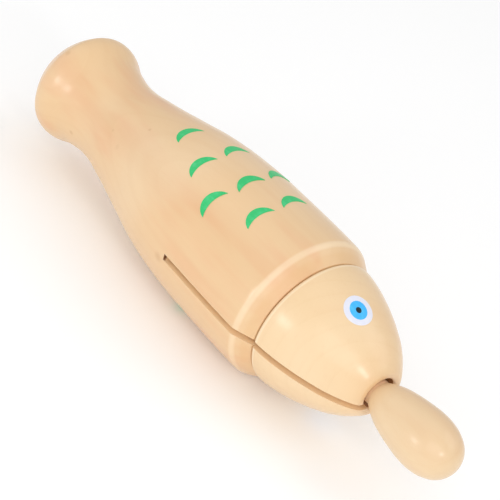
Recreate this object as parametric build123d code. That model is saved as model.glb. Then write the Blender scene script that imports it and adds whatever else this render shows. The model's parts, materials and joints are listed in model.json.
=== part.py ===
from build123d import *
import os
from math import cos, radians, sin

# A turned wooden fish with a saw slit round its front half, and the beater kept in its mouth.
# Millimetres. X is the turning axis, from the tail end (x = 0) towards the mouth.
# Z is square to the saw slit, on the side of the painted eye. Y is across the fish, along the slit.

# Outline of the turned fish: stations along the axis and radii.
tail_end_radius = 6.0
flare_x, flare_radius = 14.0, 20.7
neck_x, neck_radius = 35.5, 16.4
belly_x, belly_radius = 131.0, 27.5
shoulder_x, shoulder_radius = 140.1, 27.2
gill_x, gill_radius = 146.5, 23.3
gill_lip_x, gill_lip_radius = 147.8, 23.9
nose_x, nose_radius = 181.3, 8.0

# Hollows.
chamber_radius, chamber_start = 17.0, 66.0
chamber_corner = 6.0
spigot_length, spigot_gap = 8.0, 0.05
head_cavity_radius, head_cavity_end = 12.5, 168.5
mouth_radius, mouth_lip = 5.8, 0.7

# The saw slit, full width, with a drilled hole of its own width at its rear end.
slit_end_x, slit_top, slit_bottom = 102.8, -3.1, -5.5
slit_width = slit_top - slit_bottom

# The beater: a dowel glued in an egg-shaped head. It lies a little off the axis in its loose hole.
stick_radius, stick_inside = 4.5, 106.0
stick_chamfer = 0.8
socket_depth = 14.0
beater_offset_y, beater_offset_z = -0.9, 0.55
beater_slope_y, beater_slope_z = 0.01, 0.01
egg_gap = 0.6
heel_radius = 4.75
egg_length, egg_radius = 34.9, 9.9

# Paint, let flush into the wood.
paint_depth = 0.25
film_reach = 4.0           # how far an outline is pushed through the curved surface, each way
eye_x, eye_angle = 163.5, 77.5
eye_size, iris_size, pupil_size = (10.2, 9.8), (6.5, 6.0), (2.1, 1.9)   # along the fish, and around it
eye_lean = -20.0
# Each mark's station and its angle from the slit's side (-Y): columns of 2, 3, 2 and 1, placed by hand.
mark_places = [(121.6, 61.0), (120.6, 92.0), (106.8, 45.0), (107.6, 75.2), (105.9, 105.8),
               (91.9, 58.7), (91.0, 90.6), (75.5, 73.0)]
mark_half_width, mark_outer_rise, mark_inner_rise = 5.6, 4.5, 1.45
mark_lean = 5.5            # degrees that the marks lean forward on the slit's side

# Length by which a cutting tool passes the wood.
overshoot = 10.0


def body_line(inset=0.0):
    """Outer line of tail and belly, from the tail end to the gill, drawn inwards by an inset."""
    def at(x, radius):
        return (x, radius - inset)

    tail = Spline(at(0, tail_end_radius), at(4.0, 11.6), at(10.4, 18.7), at(flare_x, flare_radius),
                  tangents=[(0.7, 1), (1, 0)])
    waist = Spline(at(flare_x, flare_radius), at(25.2, 17.7), at(neck_x, neck_radius),
                   tangents=[(1, 0), (1, 0)])
    belly = Spline(at(neck_x, neck_radius), at(49.2, 18.4), at(64.2, 21.7), at(77.4, 24.6),
                   at(95.2, 26.75), at(belly_x, belly_radius), tangents=[(1, 0), (1, 0)])
    shoulder = TangentArc(at(belly_x, belly_radius), at(shoulder_x, shoulder_radius), tangent=(1, 0))
    bevel = ThreePointArc(at(shoulder_x, shoulder_radius), at(143.5, 25.6), at(gill_x, gill_radius))
    return tail + waist + belly + shoulder + bevel


def head_line(inset=0.0):
    """Outer line of the head, from the gill to the nose."""
    def at(x, radius):
        return (x, radius - inset)

    bevel = Line(at(gill_x, gill_radius), at(gill_lip_x, gill_lip_radius))
    dome = Spline(at(gill_lip_x, gill_lip_radius), at(153.5, 23.1), at(159.0, 21.65),
                  at(164.0, 19.9), at(168.5, 17.95), at(172.8, 15.7), at(178.9, 11.0),
                  at(nose_x, nose_radius), tangents=[(1, -0.05), (0.5, -1)])
    return bevel + dome


def turned(line, start, end):
    """Solid of revolution under a line, between two stations on the axis."""
    closing = Polyline(line @ 1, (end, 0), (start, 0), line @ 0)
    return revolve(make_face(line + closing), Axis.X)


def rod(radius, start, end):
    """Round rod on the turning axis."""
    return Pos(start, 0, 0) * (Rot(0, 90, 0) * Cylinder(radius, end - start,
                               align=(Align.CENTER, Align.CENTER, Align.MIN)))


def slit():
    length = nose_x + overshoot - slit_end_x
    across = 2 * (belly_radius + overshoot)
    blade = Pos(slit_end_x, 0, slit_bottom) * Box(length, across, slit_width,
                                                  align=(Align.MIN, Align.CENTER, Align.MIN))
    hole = Pos(slit_end_x, 0, (slit_top + slit_bottom) / 2) * (
        Rot(90, 0, 0) * Cylinder(slit_width / 2, across))
    return blade + hole


def half_space(above):
    """Block that holds one half of the head: above the slit, or below it."""
    size = 4 * belly_radius
    if above:
        return Pos(gill_x, 0, slit_top) * Box(size, size, size, align=(Align.CENTER, Align.CENTER, Align.MIN))
    return Pos(gill_x, 0, slit_bottom) * Box(size, size, size, align=(Align.CENTER, Align.CENTER, Align.MAX))


def body_solid():
    chamber = rod(chamber_radius, chamber_start, gill_x + overshoot)
    chamber = fillet(chamber.edges().sort_by(Axis.X)[0], chamber_corner)
    return turned(body_line(), 0, gill_x) - chamber - slit()


def head_solid():
    """The whole head before it is sawn: dome, spigot, cavity and mouth."""
    spigot = rod(chamber_radius - spigot_gap, gill_x - spigot_length, gill_x)
    cavity = rod(head_cavity_radius, gill_x - spigot_length, head_cavity_end)
    cavity = fillet(cavity.edges().sort_by(Axis.X)[-1], chamber_corner)
    mouth = rod(mouth_radius, head_cavity_end - overshoot, nose_x + overshoot)
    head = turned(head_line(), gill_x, nose_x) + spigot - cavity - mouth
    lip = head.edges().filter_by(GeomType.CIRCLE).sort_by(Axis.X)[-2:].sort_by(SortBy.RADIUS)[0]
    return fillet(lip, mouth_lip)


def skin(line, start, end):
    """The outermost layer of a turned solid, as deep as the paint."""
    return turned(line(), start, end) - turned(line(paint_depth), start, end)


def radius_at(line, x):
    crossing = line().intersect(Line((x, 0), (x, 2 * belly_radius)))
    return max(point.Y for point in (crossing if isinstance(crossing, list) else [crossing]))


def surface_plane(line, x, angle):
    """Plane on the wood at a station, with its X along the axis and its Z out of the wood."""
    radius = radius_at(line, x)
    rise = radius_at(line, x + 1) - radius
    outward = Vector(0, -cos(radians(angle)), sin(radians(angle)))
    forward = (Vector(1, 0, 0) + rise * outward).normalized()
    around = Vector(0, sin(radians(angle)), cos(radians(angle)))
    return Plane(Vector(x, 0, 0) + radius * outward, x_dir=forward, z_dir=forward.cross(around))


def crescent():
    """Scale mark: two arcs between its tips, bulging towards the tail."""
    tip_a = (0, -mark_half_width)
    tip_b = (0, mark_half_width)
    outer = ThreePointArc(tip_a, (-mark_outer_rise, 0), tip_b)
    inner = ThreePointArc(tip_b, (-mark_inner_rise, 0), tip_a)
    return make_face(outer + inner)


def oval(size):
    """Outline of an eye part, a little longer along the fish."""
    return Rot(0, 0, eye_lean) * Ellipse(size[0] / 2, size[1] / 2)


def painted(face, plane, layer):
    """Film of paint: a flat outline pushed square into the wood's outer layer."""
    return extrude(plane * face, film_reach, both=True) & layer


def eye_films():
    plane = surface_plane(head_line, eye_x, eye_angle)
    layer = skin(head_line, gill_x, nose_x)
    faces = {
        "eye_white": oval(eye_size) - oval(iris_size),
        "eye_iris": oval(iris_size) - oval(pupil_size),
        "eye_pupil": oval(pupil_size),
    }
    return {name: painted(face, plane, layer) for name, face in faces.items()}


def mark_films():
    layer = skin(body_line, 0, gill_x)
    outline = Rot(0, 0, mark_lean) * crescent()
    return {f"scale_mark_{number}": painted(outline, surface_plane(body_line, x, angle), layer)
            for number, (x, angle) in enumerate(mark_places, start=1)}


def beater_place():
    """The beater's own frame: origin at the nose, Z outwards along the stick."""
    direction = Vector(1, beater_slope_y, beater_slope_z)
    return Plane(Vector(nose_x, beater_offset_y, beater_offset_z), x_dir=(0, 1, 0), z_dir=direction)


def beater_stick():
    dowel = Pos(0, 0, -stick_inside) * Cylinder(
        stick_radius, stick_inside + egg_gap + socket_depth, align=(Align.CENTER, Align.CENTER, Align.MIN))
    return beater_place() * chamfer(dowel.edges().filter_by(GeomType.CIRCLE), stick_chamfer)


def beater_head():
    """Egg turned about the stick, blunt towards its tip, with the socket for the stick."""
    flank = Spline((heel_radius, 0), (5.75, 1.9), (6.85, 4.2), (7.6, 6.3), (8.4, 9.5), (9.35, 14.8),
                   (egg_radius, 20.2), tangents=[(0.25, 1), (0, 1)])
    tip = Spline((egg_radius, 20.2), (9.6, 25.0), (8.5, 28.7), (6.5, 31.9), (3.3, 34.1), (0, egg_length),
                 tangents=[(0, 1), (-1, 0)])
    closing = Polyline((0, egg_length), (0, 0), (heel_radius, 0))
    egg = revolve(Plane.XZ * make_face(flank + tip + closing), Axis.Z)
    socket = Cylinder(stick_radius, 2 * socket_depth)
    return beater_place() * Pos(0, 0, egg_gap) * (egg - socket)


body_shell = body_solid()
head = head_solid()
head_upper = head & half_space(above=True)
lower_jaw = head & half_space(above=False)

films_top = eye_films() | mark_films()
films_under = {name: Rot(180, 0, 0) * film for name, film in films_top.items()}

for films, jaw in ((films_top, "upper"), (films_under, "lower")):
    for name, film in films.items():
        if name.startswith("scale"):
            body_shell -= film
        elif jaw == "upper":
            head_upper -= film
        else:
            lower_jaw -= film

nodes = {
    "body_shell": body_shell,
    "head_upper": head_upper,
    "lower_jaw": lower_jaw,
    "beater_stick": beater_stick(),
    "beater_head": beater_head(),
}
nodes |= {f"{name}_top": film for name, film in films_top.items()}
nodes |= {f"{name}_under": film for name, film in films_under.items()}

os.makedirs("parts", exist_ok=True)
for name, shape in nodes.items():
    export_step(shape, f"parts/{name}.step")
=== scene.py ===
import json
import math

import bpy
from mathutils import Matrix, Vector


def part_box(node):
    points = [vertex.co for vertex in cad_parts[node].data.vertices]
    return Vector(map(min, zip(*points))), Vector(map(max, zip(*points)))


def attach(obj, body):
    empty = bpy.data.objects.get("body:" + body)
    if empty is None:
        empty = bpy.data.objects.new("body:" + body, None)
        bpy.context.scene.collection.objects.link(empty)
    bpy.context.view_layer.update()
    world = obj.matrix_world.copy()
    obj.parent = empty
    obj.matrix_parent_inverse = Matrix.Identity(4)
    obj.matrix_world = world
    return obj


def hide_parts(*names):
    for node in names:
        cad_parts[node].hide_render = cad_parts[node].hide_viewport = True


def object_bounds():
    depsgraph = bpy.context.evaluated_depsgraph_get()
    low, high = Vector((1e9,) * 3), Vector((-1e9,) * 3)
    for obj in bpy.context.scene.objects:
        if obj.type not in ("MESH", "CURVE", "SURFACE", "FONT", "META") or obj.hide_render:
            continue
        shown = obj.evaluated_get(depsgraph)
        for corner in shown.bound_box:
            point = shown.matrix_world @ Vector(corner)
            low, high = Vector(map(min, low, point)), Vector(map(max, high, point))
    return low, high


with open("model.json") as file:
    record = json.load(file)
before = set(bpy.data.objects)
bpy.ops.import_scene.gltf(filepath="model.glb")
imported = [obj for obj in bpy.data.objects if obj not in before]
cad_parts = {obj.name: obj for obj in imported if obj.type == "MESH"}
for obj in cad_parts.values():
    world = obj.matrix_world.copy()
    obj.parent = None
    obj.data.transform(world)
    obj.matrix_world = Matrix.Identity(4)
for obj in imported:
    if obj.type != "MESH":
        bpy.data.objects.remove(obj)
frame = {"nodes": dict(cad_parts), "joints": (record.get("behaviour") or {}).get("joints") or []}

cadLow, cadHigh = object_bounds()   # the CAD box, before any piece stands in

mm = 0.001
micron = 0.000001
origin = Vector((0, 0, 0))
turningAxis = Vector((1, 0, 0))
nodes = frame["nodes"]


# working in the viewport's way: one piece active, faces and edges picked by place

def deselectAll():
    if bpy.context.object and bpy.context.object.mode != "OBJECT":
        bpy.ops.object.mode_set(mode="OBJECT")
    bpy.ops.object.select_all(action="DESELECT")


def makeActive(piece):
    deselectAll()
    piece.select_set(True)
    bpy.context.view_layer.objects.active = piece


def editAll(piece):
    makeActive(piece)
    bpy.ops.object.mode_set(mode="EDIT")
    bpy.ops.mesh.select_all(action="SELECT")


def editEdges(piece, wanted):
    # opens the piece in edit mode with only the wanted edges selected
    makeActive(piece)
    bpy.ops.object.mode_set(mode="EDIT")
    bpy.ops.mesh.select_mode(type="EDGE")
    bpy.ops.mesh.select_all(action="DESELECT")
    bpy.ops.object.mode_set(mode="OBJECT")
    corners = piece.data.vertices
    for edge in piece.data.edges:
        ends = [corners[i].co for i in edge.vertices]
        edge.select = wanted(*ends)
    bpy.ops.object.mode_set(mode="EDIT")


def leaveEdit():
    bpy.ops.object.mode_set(mode="OBJECT")


def applyModifier(piece, kind, settings):
    modifier = piece.modifiers.new(kind.title(), kind)
    for name, value in settings.items():
        setattr(modifier, name, value)
    makeActive(piece)
    bpy.ops.object.modifier_apply(modifier=modifier.name)


def settlePlace(piece):
    makeActive(piece)
    bpy.ops.object.transform_apply(location=True, rotation=True, scale=True)


lathe = dict(
    steps=160,          # divisions round the axis
    perSpan=9,          # divisions between two outline points
    weld=5 * micron,
)


def turnOnLathe(name, outline, closed):
    # outline points are (x, radius, corner) in millimetres; the profile is a Bezier line spun about X
    deselectAll()
    bpy.ops.curve.primitive_bezier_curve_add(location=origin)
    profile = bpy.context.object
    line = profile.data.splines[0]
    line.bezier_points.add(len(outline) - len(line.bezier_points))
    for point, (x, radius, corner) in zip(line.bezier_points, outline):
        point.co = (x * mm, radius * mm, 0)
        point.handle_left_type = "VECTOR" if corner else "AUTO"
        point.handle_right_type = "VECTOR" if corner else "AUTO"
    line.use_cyclic_u = closed
    line.resolution_u = lathe["perSpan"]
    makeActive(profile)
    bpy.ops.object.convert(target="MESH")
    piece = bpy.context.object
    piece.name = name
    piece.data.name = name
    editAll(piece)
    bpy.ops.mesh.remove_doubles(threshold=lathe["weld"])
    bpy.ops.mesh.spin(steps=lathe["steps"], angle=2 * math.pi, center=origin, axis=turningAxis)
    bpy.ops.mesh.select_all(action="SELECT")
    bpy.ops.mesh.remove_doubles(threshold=lathe["weld"])
    bpy.ops.mesh.normals_make_consistent(inside=False)
    leaveEdit()
    return piece


easedEdge = dict(width=0.4 * mm, segments=3, angle=math.radians(20), smooth=math.radians(38))


def easeEdges(piece):
    applyModifier(piece, "BEVEL", dict(
        width=easedEdge["width"], segments=easedEdge["segments"], limit_method="ANGLE",
        angle_limit=easedEdge["angle"], use_clamp_overlap=True, miter_outer="MITER_ARC"))
    makeActive(piece)
    bpy.ops.object.shade_smooth_by_angle(angle=easedEdge["smooth"])


toolReach = 1.2   # a cutting block is this many times as wide as the fish, so that it passes the wood


def carve(piece, tool, operation):
    applyModifier(piece, "BOOLEAN", dict(operation=operation, object=tool, solver="EXACT"))


def discard(tool):
    bpy.data.objects.remove(tool, do_unlink=True)


print("frame loaded:", len(nodes), "nodes")


# the fish's body, a hollow turned shell with the saw slit from its front edge

paintThickness = 0.08   # the wood lies this far under the paint films, in millimetres

fishBody = dict(
    outline=[(0, 0, True), (0, 4.5, True), (0.4, 6.4, False), (4.0, 11.6, False), (10.4, 18.7, False),
             (14.0, 20.7, False), (25.2, 17.7, False), (35.5, 16.4, False), (49.2, 18.4, False),
             (64.2, 21.7, False), (77.4, 24.6, False), (95.2, 26.75, False), (113.0, 27.35, False),
             (131.0, 27.5, False), (137.0, 27.4, False), (139.4, 27.28, False), (140.2, 27.08, False),
             (140.9, 26.7, False), (143.3, 25.3, False), (146.2, 23.45, True), (146.5, 22.4, True)],
    chamberRadius=17.0,
    chamberStart=66.0,
    chamberCorner=6.0,
)

slitLow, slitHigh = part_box("lower_jaw")[1].z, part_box("head_upper")[0].z
slit = dict(
    middle=(slitLow + slitHigh) / 2,
    height=slitHigh - slitLow,
    rearEnd=102.3 * mm,
    endRound=0.49,      # share of the height; a half would make the two rounded edges meet
    roundSegments=8,
)


def sawBlade():
    # the space that the saw and the drilled end hole left, right across the fish
    rear, front, across = slit["rearEnd"], cadHigh.x, 2 * cadHigh.y * toolReach
    deselectAll()
    bpy.ops.mesh.primitive_cube_add(size=1, location=((rear + front) / 2, 0, slit["middle"]),
                                    scale=(front - rear, across, slit["height"]))
    blade = bpy.context.object
    settlePlace(blade)
    editEdges(blade, lambda a, b: max(a.x, b.x) < rear + micron and abs(a.z - b.z) < micron)
    bpy.ops.mesh.bevel(
        offset=slit["height"] * slit["endRound"], segments=slit["roundSegments"], affect="EDGES")
    leaveEdit()
    return blade


def makeFishBody():
    wall, start, corner = fishBody["chamberRadius"], fishBody["chamberStart"], fishBody["chamberCorner"]
    gill = fishBody["outline"][-1][0]
    outline = [(x, max(radius - paintThickness, 0), sharp) for x, radius, sharp in fishBody["outline"]]
    diagonal = corner * (1 - math.sqrt(0.5))
    outline += [(gill, wall, True), (start + corner, wall, False), (start + diagonal, wall - diagonal, False),
                (start, wall - corner, False), (start, 0, True)]
    body = turnOnLathe("fishBody", outline, False)
    blade = sawBlade()
    carve(body, blade, "DIFFERENCE")
    discard(blade)
    easeEdges(body)
    return body


# the head, turned in one with its spigot and sawn into an upper half and a lower jaw

fishHead = dict(
    dome=[(146.5, 22.4, True), (146.8, 23.4, True), (147.4, 23.78, False), (148.2, 23.86, False),
          (153.5, 23.1, False), (159.0, 21.65, False), (164.0, 19.9, False), (168.5, 17.95, False),
          (172.8, 15.7, False), (178.9, 11.0, False), (180.9, 8.75, False), (181.25, 7.9, False),
          (181.3, 7.2, False)],
    lip=[(181.2, 6.4, False), (180.9, 6.0, False), (180.3, 5.8, False)],
    hollow=[(168.5, 5.8, True), (168.5, 6.5, False), (166.75, 10.75, False), (162.5, 12.5, False),
            (138.5, 12.5, True)],
    spigotRadius=16.95,
)


def makeHeadHalf(name, low, high):
    # low and high are the heights that this half keeps between
    dome = [(x, radius - paintThickness, sharp) for x, radius, sharp in fishHead["dome"]]
    rear, gill = fishHead["hollow"][-1][0], dome[0][0]
    spigot = [(rear, fishHead["spigotRadius"], True), (gill, fishHead["spigotRadius"], True)]
    half = turnOnLathe(name, dome + fishHead["lip"] + fishHead["hollow"] + spigot, True)
    deselectAll()
    bpy.ops.mesh.primitive_cube_add(
        size=1, location=(cadHigh.x / 2, 0, (low + high) / 2),
        scale=(cadHigh.x * toolReach, 2 * cadHigh.y * toolReach, high - low))
    block = bpy.context.object
    settlePlace(block)
    carve(half, block, "INTERSECT")
    discard(block)
    easeEdges(half)
    return half


# the beater, turned on its own axis and laid in the mouth

pull = frame["joints"][0]
stickLow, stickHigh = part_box("beater_stick")
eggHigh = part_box("beater_head")[1]
beaterAxis = Vector(pull["axis"]).normalized()

beater = dict(
    stickRadius=4.5,
    chamfer=0.8,
    egg=[(0, 0, True), (0, 4.75, True), (0.7, 5.1, False), (1.9, 5.75, False), (4.2, 6.85, False),
         (6.3, 7.6, False), (9.5, 8.4, False), (14.8, 9.35, False), (20.2, 9.9, False),
         (25.0, 9.6, False), (28.7, 8.5, False), (31.9, 6.5, False), (34.1, 3.3, False),
         (34.9, 0, False)],
    underSkin=0.04,     # the egg lies this far inside its outline
    tipGap=0.02,        # and its tip this far inside its box
)


def axisPoint(x):
    # the point of the beater's axis at a station; the stick's box is centred on that axis
    centre = (stickLow + stickHigh) / 2
    return centre + beaterAxis * ((x - centre.x) / beaterAxis.x)


def layAlongBeater(piece, start):
    # moves a piece that was turned about X onto the beater's axis, with its x = 0 at start
    turn = turningAxis.rotation_difference(beaterAxis)
    piece.matrix_world = Matrix.Translation(start) @ turn.to_matrix().to_4x4()
    settlePlace(piece)


def makeStick():
    radius, bevel = beater["stickRadius"], beater["chamfer"]
    lean = math.sqrt(1 - beaterAxis.x ** 2) * radius * mm
    length = (stickHigh.x - stickLow.x - 2 * lean) / beaterAxis.x / mm
    outline = [(0, 0, True), (0, radius - bevel, True), (bevel, radius, True), (length / 2, radius, True),
               (length - bevel, radius, True), (length, radius - bevel, True), (length, 0, True)]
    stick = turnOnLathe("beaterStick", outline, False)
    layAlongBeater(stick, axisPoint(stickLow.x + lean))
    easeEdges(stick)
    return stick


def makeEgg():
    outline = [(x, max(radius - beater["underSkin"], 0), sharp) for x, radius, sharp in beater["egg"]]
    egg = turnOnLathe("beaterEgg", outline, False)
    tipReach = beater["egg"][-1][0] * mm * beaterAxis.x
    layAlongBeater(egg, axisPoint(eggHigh.x - tipReach - beater["tipGap"] * mm))
    easeEdges(egg)
    return egg


bodyPiece = makeFishBody()
print("body turned and slit:", len(bodyPiece.data.polygons), "faces")
headPiece = makeHeadHalf("headUpper", slitHigh, cadHigh.z)
jawPiece = makeHeadHalf("lowerJaw", cadLow.z, slitLow)
print("head turned and sawn:", len(headPiece.data.polygons), "+", len(jawPiece.data.polygons), "faces")
stickPiece = makeStick()
eggPiece = makeEgg()
print("beater turned:", len(stickPiece.data.polygons), "+", len(eggPiece.data.polygons), "faces")


# shader maths as plain sums

class Wire:
    # a socket of a finish, which can be used in sums

    def __init__(self, finish, socket):
        self.finish = finish
        self.socket = socket

    def math(self, operation, first, second=0.0):
        return self.finish.add("ShaderNodeMath", dict(operation=operation), {0: first, 1: second})

    def __add__(self, other):
        return self.math("ADD", self, other)

    def __radd__(self, other):
        return self.math("ADD", other, self)

    def __sub__(self, other):
        return self.math("SUBTRACT", self, other)

    def __rsub__(self, other):
        return self.math("SUBTRACT", other, self)

    def __mul__(self, other):
        return self.math("MULTIPLY", self, other)

    def __rmul__(self, other):
        return self.math("MULTIPLY", other, self)

    def __truediv__(self, other):
        return self.math("DIVIDE", self, other)

    def __pow__(self, other):
        return self.math("POWER", self, other)

    def __gt__(self, other):
        return self.math("GREATER_THAN", self, other)

    def __lt__(self, other):
        return self.math("LESS_THAN", self, other)


class Finish:
    # a material on one Principled shader

    def __init__(self, name, constants):
        self.material = bpy.data.materials.new(name)
        self.material.use_nodes = True
        self.tree = self.material.node_tree
        self.shader = self.tree.nodes["Principled BSDF"]
        for socket, value in constants.items():
            self.shader.inputs[socket].default_value = value
        self.place = self.add("ShaderNodeTexCoord", {}, {}, "Object")

    def add(self, kind, settings, sockets, output=0):
        node = self.tree.nodes.new(kind)
        for name, value in settings.items():
            setattr(node, name, value)
        for key, value in sockets.items():
            if isinstance(value, Wire):
                self.tree.links.new(value.socket, node.inputs[key])
            else:
                node.inputs[key].default_value = value
        return Wire(self, node.outputs[output])

    def feed(self, socket, wire):
        self.tree.links.new(wire.socket, self.shader.inputs[socket])

    def mix(self, amount, first, second):
        # a colour between two colours
        return self.add("ShaderNodeMix", dict(data_type="RGBA"), {0: amount, 6: first, 7: second}, 2)

    def turned(self, centre, turn, stretch):
        # object coordinates about a centre, turned, then stretched along the new axes
        moved = self.add("ShaderNodeVectorMath", dict(operation="SUBTRACT"), {0: self.place, 1: centre})
        spun = self.add("ShaderNodeVectorRotate", dict(rotation_type="EULER_XYZ"), {0: moved, 4: turn})
        return self.add("ShaderNodeVectorMath", dict(operation="MULTIPLY"), {0: spun, 1: stretch})

    def parts(self, vector):
        split = self.add("ShaderNodeSeparateXYZ", {}, {0: vector})
        return [Wire(self, socket) for socket in split.socket.node.outputs]

    def noise(self, vector, scale, detail=2.0, roughness=0.5):
        return self.add("ShaderNodeTexNoise", {}, {
            "Vector": vector, "Scale": scale, "Detail": detail, "Roughness": roughness})

    def ease(self, wire, low, high):
        # 0 under low, 1 over high, smooth between
        return self.add("ShaderNodeMapRange", dict(interpolation_type="SMOOTHSTEP"), {
            0: wire, 1: low, 2: high, 3: 0.0, 4: 1.0})

    def spot(self, centre, radius, soft):
        away = self.add("ShaderNodeVectorMath", dict(operation="DISTANCE"), {0: self.place, 1: centre}, 1)
        return 1.0 - self.ease(away, radius * (1 - soft), radius)

    def bump(self, height, strength, distance):
        return self.add("ShaderNodeBump", {}, {"Height": height, "Strength": strength, "Distance": distance})


def opaque(colour):
    return (*colour, 1.0)


# wood: pale limewood with growth rings, soft streaks and fibres under a satin varnish

def grainOf(finish, look):
    # growth-ring lines and fibres, each 0 to 1
    plain = finish.turned(look["pith"], look["grainTurn"], (1, 1, 1))
    slow = finish.turned(look["pith"], look["grainTurn"], look["swayStretch"])
    sway = finish.noise(slow, 1.0, 2.0) - 0.5
    along, acrossA, acrossB = finish.parts(plain)
    if look["flatRings"]:
        depth = along
    else:
        depth = (acrossA * acrossA + acrossB * acrossB) ** 0.5
    count = (depth + sway * look["sway"]) / look["ringPitch"]
    whole = count.math("FLOOR", count)
    phase = count - whole
    chance = finish.add("ShaderNodeTexWhiteNoise", dict(noise_dimensions="1D"), {"W": whole})
    lateWood = finish.ease(phase, look["lateStart"], 0.97) * (1.0 - finish.ease(phase, 0.97, 1.0))
    rings = lateWood * (0.3 + 0.4 * chance)
    for station, strength in look["clearRings"]:
        away = depth + sway * (look["sway"] * 0.3) - station * mm
        near = (away * away) ** 0.5
        line = (1.0 - finish.ease(near, 0.15 * mm, look["clearWidth"])) * strength
        rings = rings.math("MAXIMUM", rings, line)
    fine = finish.turned(look["pith"], look["grainTurn"], look["fibreStretch"])
    fibres = finish.noise(fine, 1.0, 3.0, 0.6)
    return rings, fibres


# rings round the fish: a painted highlight on the shoulder crease, painted shade on the bevel, a dark glue
# line deepened with painted groove shade at the gill, and a painted highlight on the head edge.
# each is its station and half width in millimetres, its strength and its colour
gillSheenAndShadeBands = [(140.5, 0.9, 0.36, (0.92, 0.76, 0.54)), (144.6, 1.6, 0.32, (0.72, 0.43, 0.19)),
               (146.5, 0.16, 0.4, (0.30, 0.14, 0.05)), (147.7, 0.5, 0.4, (0.93, 0.78, 0.56))]


def woodFinish(name, look):
    finish = Finish(name, {"Coat Weight": look["varnish"], "Coat Roughness": look["varnishRoughness"],
                           "Coat IOR": 1.5, "Specular IOR Level": 0.4})
    rings, fibres = grainOf(finish, look)
    broad = finish.noise(finish.turned(origin, look["grainTurn"], look["streakStretch"]), 1.0, 3.0, 0.55)
    cloud = finish.noise(finish.place, look["cloudScale"], 2.0)
    colour = finish.mix(finish.ease(broad, 0.42, 0.68) * look["pinkAmount"],
                        opaque(look["base"]), opaque(look["pink"]))
    colour = finish.mix(finish.ease(cloud, 0.5, 0.75) * look["paleAmount"], colour, opaque(look["pale"]))
    colour = finish.mix(rings * look["ringAmount"], colour, opaque(look["ring"]))
    colour = finish.mix(finish.ease(fibres, 0.5, 0.8) * look["fibreAmount"], colour, opaque(look["fibre"]))
    for centre, radius, strength in look["flecks"]:
        fleck = finish.spot(Vector(centre) * mm, radius * mm, 0.8) * (0.6 + 0.4 * fibres)
        colour = finish.mix(fleck * strength, colour, opaque(look["fleck"]))
    roughness = look["roughness"] + fibres * 0.08
    if look["sawn"]:
        x = finish.parts(finish.place)[0]
        # painted light round the gill: painted highlights on the crease and head edge, painted shade on the
        # bevel, and painted shade deepening the glue line
        for station, half, strength, tone in gillSheenAndShadeBands:
            away = x - station * mm
            sheenShadeBand = 1.0 - finish.ease((away * away) ** 0.5, half * 0.4 * mm, half * 1.6 * mm)
            uneven = 0.7 + 0.6 * finish.ease(cloud, 0.3, 0.7)
            colour = finish.mix(sheenShadeBand * uneven * strength, colour, opaque(tone))
        colour, roughness = sawnInside(finish, look, colour, roughness, fibres)
    finish.feed("Base Color", colour)
    finish.feed("Roughness", roughness)
    height = fibres * 0.6 + rings * -0.5 + cloud * 0.5
    finish.feed("Normal", finish.bump(height, look["bump"], look["bumpDepth"]))
    return finish.material


bareCut = dict(
    solidTo=0.01 * mm,          # the bare wood of the slit is full to here past the cut
    goneBy=0.12 * mm,           # and has faded out by here
    rearSpare=0.1 * mm,
    sawMarkStretch=(900, 60, 60),
    # radius of the darker round patch at the slit's drilled end
    slitEndDarkRadius=1.7 * mm,
    addedRoughness=0.3,
)


def sawnInside(finish, look, colour, roughness, fibres):
    # bare tan wood in the saw slit with a darker round patch at its drilled end, and the bored hollows
    # painted dark brown as painted shade
    x, y, z = finish.parts(finish.place)
    offset = z - slit["middle"]
    aside = (offset * offset) ** 0.5
    half = slit["height"] / 2
    inSlit = 1.0 - finish.ease(aside, half + bareCut["solidTo"], half + bareCut["goneBy"])
    inSlit = inSlit * (x > slit["rearEnd"] - bareCut["rearSpare"])
    radius = (y * y + z * z) ** 0.5
    bored = 0.0
    for bore, start, end in look["bores"]:
        bored = bored + (radius < bore * mm) * (x > start * mm) * (x < end * mm)
    bare = inSlit.math("MAXIMUM", inSlit, bored)
    sawMarks = finish.noise(finish.turned(origin, (0, 0, 0), bareCut["sawMarkStretch"]), 1.0, 2.0)
    tan = finish.mix(sawMarks * 0.5 + fibres * 0.3, opaque(look["bareWood"]), opaque(look["bareDark"]))
    # bored hollows: dark brown painted shade
    tan = finish.mix(bored, tan, opaque(look["boreShade"]))
    # a near-black brown round patch at the slit's drilled end
    slitEndDarked = finish.spot(look["drillEnd"], bareCut["slitEndDarkRadius"], 0.5)
    tan = finish.mix(slitEndDarked, tan, opaque(look["slitEndDark"]))
    return finish.mix(bare, colour, tan), roughness + bare * bareCut["addedRoughness"]


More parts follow.
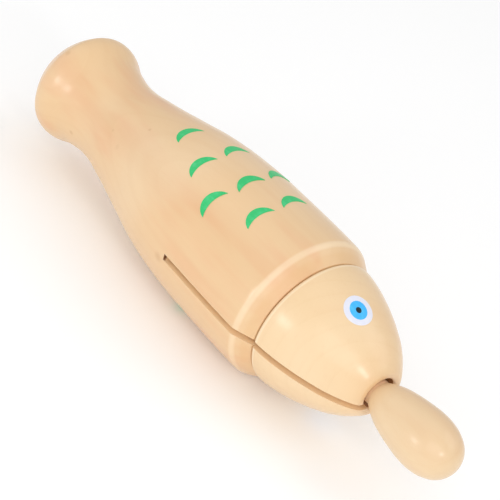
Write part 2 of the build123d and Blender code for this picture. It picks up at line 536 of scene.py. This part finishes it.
bodyLook = dict(
    base=(0.78, 0.53, 0.29), pale=(0.81, 0.60, 0.37), pink=(0.765, 0.44, 0.235), ring=(0.66, 0.38, 0.18),
    fibre=(0.73, 0.45, 0.24), fleck=(0.45, 0.22, 0.08), bareWood=(0.95, 0.72, 0.46),
    # the bored hollows take a dark brown painted shade
    bareDark=(0.88, 0.62, 0.36), boreShade=(0.40, 0.19, 0.07), slitEndDark=(0.16, 0.06, 0.02),
    drillEnd=Vector((102.4, -26.6, -4.25)) * mm,
    clearRings=[(105.5, 0.5), (111.9, 0.6), (114.2, 0.5), (117.9, 0.6)], clearWidth=0.9 * mm,
    pith=Vector((0, 71, -56)) * mm, grainTurn=(0, 0, 0), flatRings=False,
    ringPitch=3.3 * mm, lateStart=0.55, sway=2.2 * mm, swayStretch=(14, 30, 30),
    fibreStretch=(55, 1500, 1500), streakStretch=(11, 70, 70), cloudScale=18.0,
    ringAmount=0.12, pinkAmount=0.85, paleAmount=0.6, fibreAmount=0.13,
    varnish=0.6, varnishRoughness=0.22, roughness=0.42, bump=0.12, bumpDepth=0.15 * mm,
    sawn=True, bores=[(17.1, 65.0, 150.0)],
    # flecks: centre and radius in millimetres, and strength
    flecks=[((99.4, -26.2, -6.6), 2.6, 0.28), ((30.8, -15.2, -6.4), 1.3, 0.35),
            ((57.4, -19.0, 6.7), 1.5, 0.12), ((62.8, -13.0, 16.9), 0.9, 0.3),
            ((13.9, -13.9, 15.3), 1.5, 0.28), ((50.5, -16.7, 8.4), 0.8, 0.2)],
)

headLook = dict(
    bodyLook,
    base=(0.82, 0.59, 0.34), pale=(0.84, 0.65, 0.42), pink=(0.79, 0.52, 0.285), ring=(0.70, 0.45, 0.21),
    pith=Vector((120, 0, 0)) * mm, grainTurn=(0, 0, math.radians(22)), flatRings=True,
    ringPitch=4.6 * mm, lateStart=0.7, sway=3.0 * mm, swayStretch=(14, 20, 20),
    fibreStretch=(900, 900, 60), streakStretch=(60, 18, 18), ringAmount=0.13, pinkAmount=0.6,
    clearRings=[], bores=[(12.6, 130.0, 168.6), (5.85, 160.0, 180.6)], flecks=[],
)

beaterLook = dict(
    bodyLook,
    base=(0.77, 0.56, 0.335), pale=(0.80, 0.62, 0.40), pink=(0.74, 0.485, 0.275),
    pith=Vector((180, 22, -30)) * mm, ringPitch=2.7 * mm, ringAmount=0.08, pinkAmount=0.5,
    clearRings=[], sawn=False, flecks=[],
)

stickLook = dict(
    beaterLook,
    base=(0.77, 0.51, 0.30), pale=(0.81, 0.57, 0.37), pink=(0.74, 0.43, 0.26), varnish=0.1, roughness=0.45,
)

bodyWood = woodFinish("bodyWood", bodyLook)
headWood = woodFinish("headWood", headLook)
beaterWood = woodFinish("beaterWood", beaterLook)
stickWood = woodFinish("stickWood", stickLook)
print("woods mixed")


# paint: thin printed films that take a little of the wood's unevenness

paints = dict(
    green=dict(colour=(0.030, 0.53, 0.165), worn=(0.065, 0.59, 0.225)),
    white=dict(colour=(0.74, 0.75, 0.86), worn=(0.80, 0.80, 0.84)),
    blue=dict(colour=(0.05, 0.46, 0.93), worn=(0.08, 0.53, 0.90)),
    black=dict(colour=(0.002, 0.014, 0.02), worn=(0.006, 0.022, 0.03)),
)


def paintFinish(name, look):
    finish = Finish(name, {"Coat Weight": 0.12, "Coat Roughness": 0.15, "Coat IOR": 1.5,
                           "Specular IOR Level": 0.25})
    mottle = finish.noise(finish.place, 420.0, 3.0)
    streaks = finish.noise(finish.turned(origin, (0, 0, 0), (90, 900, 900)), 1.0, 2.0)
    worn = finish.ease(mottle * 0.6 + streaks * 0.4, 0.45, 0.7)
    finish.feed("Base Color", finish.mix(worn, opaque(look["colour"]), opaque(look["worn"])))
    finish.feed("Roughness", 0.32 + mottle * 0.12)
    finish.feed("Normal", finish.bump(streaks, 0.08, 0.1 * mm))
    return finish.material


paintMaterials = {colour: paintFinish(colour + "Paint", look) for colour, look in paints.items()}
paintOfNode = dict(scale="green", eye_white="white", eye_iris="blue", eye_pupil="black")
for name, node in nodes.items():
    for start, colour in paintOfNode.items():
        if name.startswith(start):
            node.data.materials.clear()
            node.data.materials.append(paintMaterials[colour])
print("paint mixed")


def standIn(piece, material, body, node):
    piece.data.materials.clear()
    piece.data.materials.append(material)
    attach(piece, body)
    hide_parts(node)
    nodes[node].data.materials.clear()
    nodes[node].data.materials.append(material)


standIn(bodyPiece, bodyWood, "fish", "body_shell")
standIn(headPiece, headWood, "fish", "head_upper")
standIn(jawPiece, headWood, "fish", "lower_jaw")
standIn(stickPiece, stickWood, "beater", "beater_stick")
standIn(eggPiece, beaterWood, "beater", "beater_head")
print("pieces riding on their bodies")


# studio: pale floor, two small soft boxes, four large fills, soft surroundings, and the camera

studio = dict(
    floorSize=8.0,
    floorColour=(0.93, 0.93, 0.93),
    floorGlow=0.12,
    surroundings=0.66,
    target=Vector((0.10, 0, 0)),
    lights=[
        dict(name="sideBox", toward=(-0.13, -0.98, 0.18), distance=0.9, size=0.20, power=1.0),
        dict(name="frontBox", toward=(0.86, -0.36, 0.42), distance=1.0, size=0.16, power=1.2),
        dict(name="frontFill", toward=(0.54, -0.68, 0.50), distance=1.2, size=0.8, power=2.6),
        dict(name="topFill", toward=(-0.30, -0.10, 0.95), distance=1.4, size=1.2, power=1.6),
        dict(name="rearFill", toward=(0.45, 0.45, 0.75), distance=1.4, size=0.9, power=2.8),
        dict(name="leftFill", toward=(-0.75, -0.35, 0.60), distance=1.4, size=0.9, power=1.2),
    ],
)

camera = dict(
    place=Vector((0.4251, -0.3963, 0.2950)),
    right=Vector((0.586, 0.727, 0.358)),
    up=Vector((-0.607, 0.102, 0.788)),
    lens=129.0,
    clipEnd=30.0,
)


def makeFloor():
    deselectAll()
    bpy.ops.mesh.primitive_plane_add(size=studio["floorSize"], location=(0, 0, cadLow.z))
    floor = bpy.context.object
    floor.name = "floor"
    finish = Finish("floorPaper", {"Roughness": 0.9, "Emission Strength": studio["floorGlow"],
                                   "Specular IOR Level": 0.1})
    grain = finish.noise(finish.place, 60.0, 2.0)
    white = opaque(studio["floorColour"])
    finish.feed("Base Color", finish.mix(grain * 0.02, white, opaque((0.88, 0.88, 0.88))))
    finish.shader.inputs["Emission Color"].default_value = white
    floor.data.materials.append(finish.material)


def makeLights():
    for look in studio["lights"]:
        deselectAll()
        toward = Vector(look["toward"]).normalized()
        place = studio["target"] + toward * look["distance"]
        facing = toward.to_track_quat("Z", "Y").to_euler()
        bpy.ops.object.light_add(type="AREA", location=place, rotation=facing)
        light = bpy.context.object
        light.name = look["name"]
        light.data.size = look["size"]
        light.data.energy = look["power"]
    world = bpy.data.worlds.new("studioAir")
    world.use_nodes = True
    world.node_tree.nodes["Background"].inputs[0].default_value = (1, 1, 1, 1)
    world.node_tree.nodes["Background"].inputs[1].default_value = studio["surroundings"]
    bpy.context.scene.world = world


def makeCamera():
    deselectAll()
    right = camera["right"].normalized()
    up = (camera["up"] - right * camera["up"].dot(right)).normalized()
    axes = Matrix((right, up, right.cross(up))).transposed()
    bpy.ops.object.camera_add(location=camera["place"], rotation=axes.to_euler())
    made = bpy.context.object
    made.name = "mainCamera"
    made.data.lens = camera["lens"]
    made.data.clip_end = camera["clipEnd"]
    bpy.context.scene.camera = made


makeFloor()
makeLights()
makeCamera()
bpy.context.scene.view_settings.view_transform = "Standard"
print("studio set")
